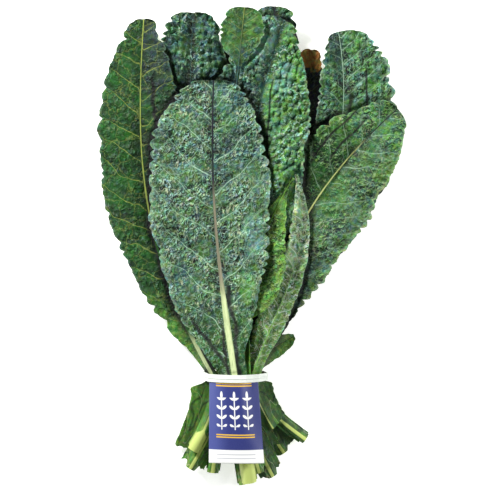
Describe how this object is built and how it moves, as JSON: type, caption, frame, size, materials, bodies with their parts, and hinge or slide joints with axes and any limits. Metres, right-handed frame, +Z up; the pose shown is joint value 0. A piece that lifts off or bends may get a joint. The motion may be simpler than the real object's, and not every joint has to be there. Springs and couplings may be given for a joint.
{
  "type": "lacinato kale bunch",
  "caption": "Bunch of long dark blue-green blistered kale leaves lying flat, gathered round the stalks by a flat white twist tie that holds a printed tag.",
  "frame": {"origin": "middle of the bunch's footprint, on the surface it lies on", "axes": "+Y from the cut ends of the stalks towards the leaf tips, +X to the right seen from above with the tips away, +Z up"},
  "size_m": [0.2692, 0.4232, 0.0643],
  "materials": {
    "leaf_blade": "dark blue-green leaf with a waxy bloom, paler midrib",
    "leaf_underside": "paler olive-green leaf underside with raised veins",
    "tie_ribbon": "matt white paper ribbon over a wire",
    "tag_card": "satin blue printed card with a white strip"
  },
  "bodies": {
    "root": {"leaf_back_right": "leaf_blade", "leaf_back_left": "leaf_blade", "leaf_back_middle": "leaf_blade", "leaf_top_dark": "leaf_blade", "leaf_brown_tip": "leaf_blade", "leaf_top_left": "leaf_blade", "leaf_right_top": "leaf_blade", "leaf_left": "leaf_blade", "leaf_right": "leaf_blade", "leaf_blistered": "leaf_blade", "leaf_top_pale": "leaf_underside", "leaf_small": "leaf_blade", "leaf_underside": "leaf_underside", "leaf_yellow": "leaf_blade", "leaf_front": "leaf_blade", "tag": "tag_card", "tie": "tie_ribbon"}
  },
  "joints": []
}
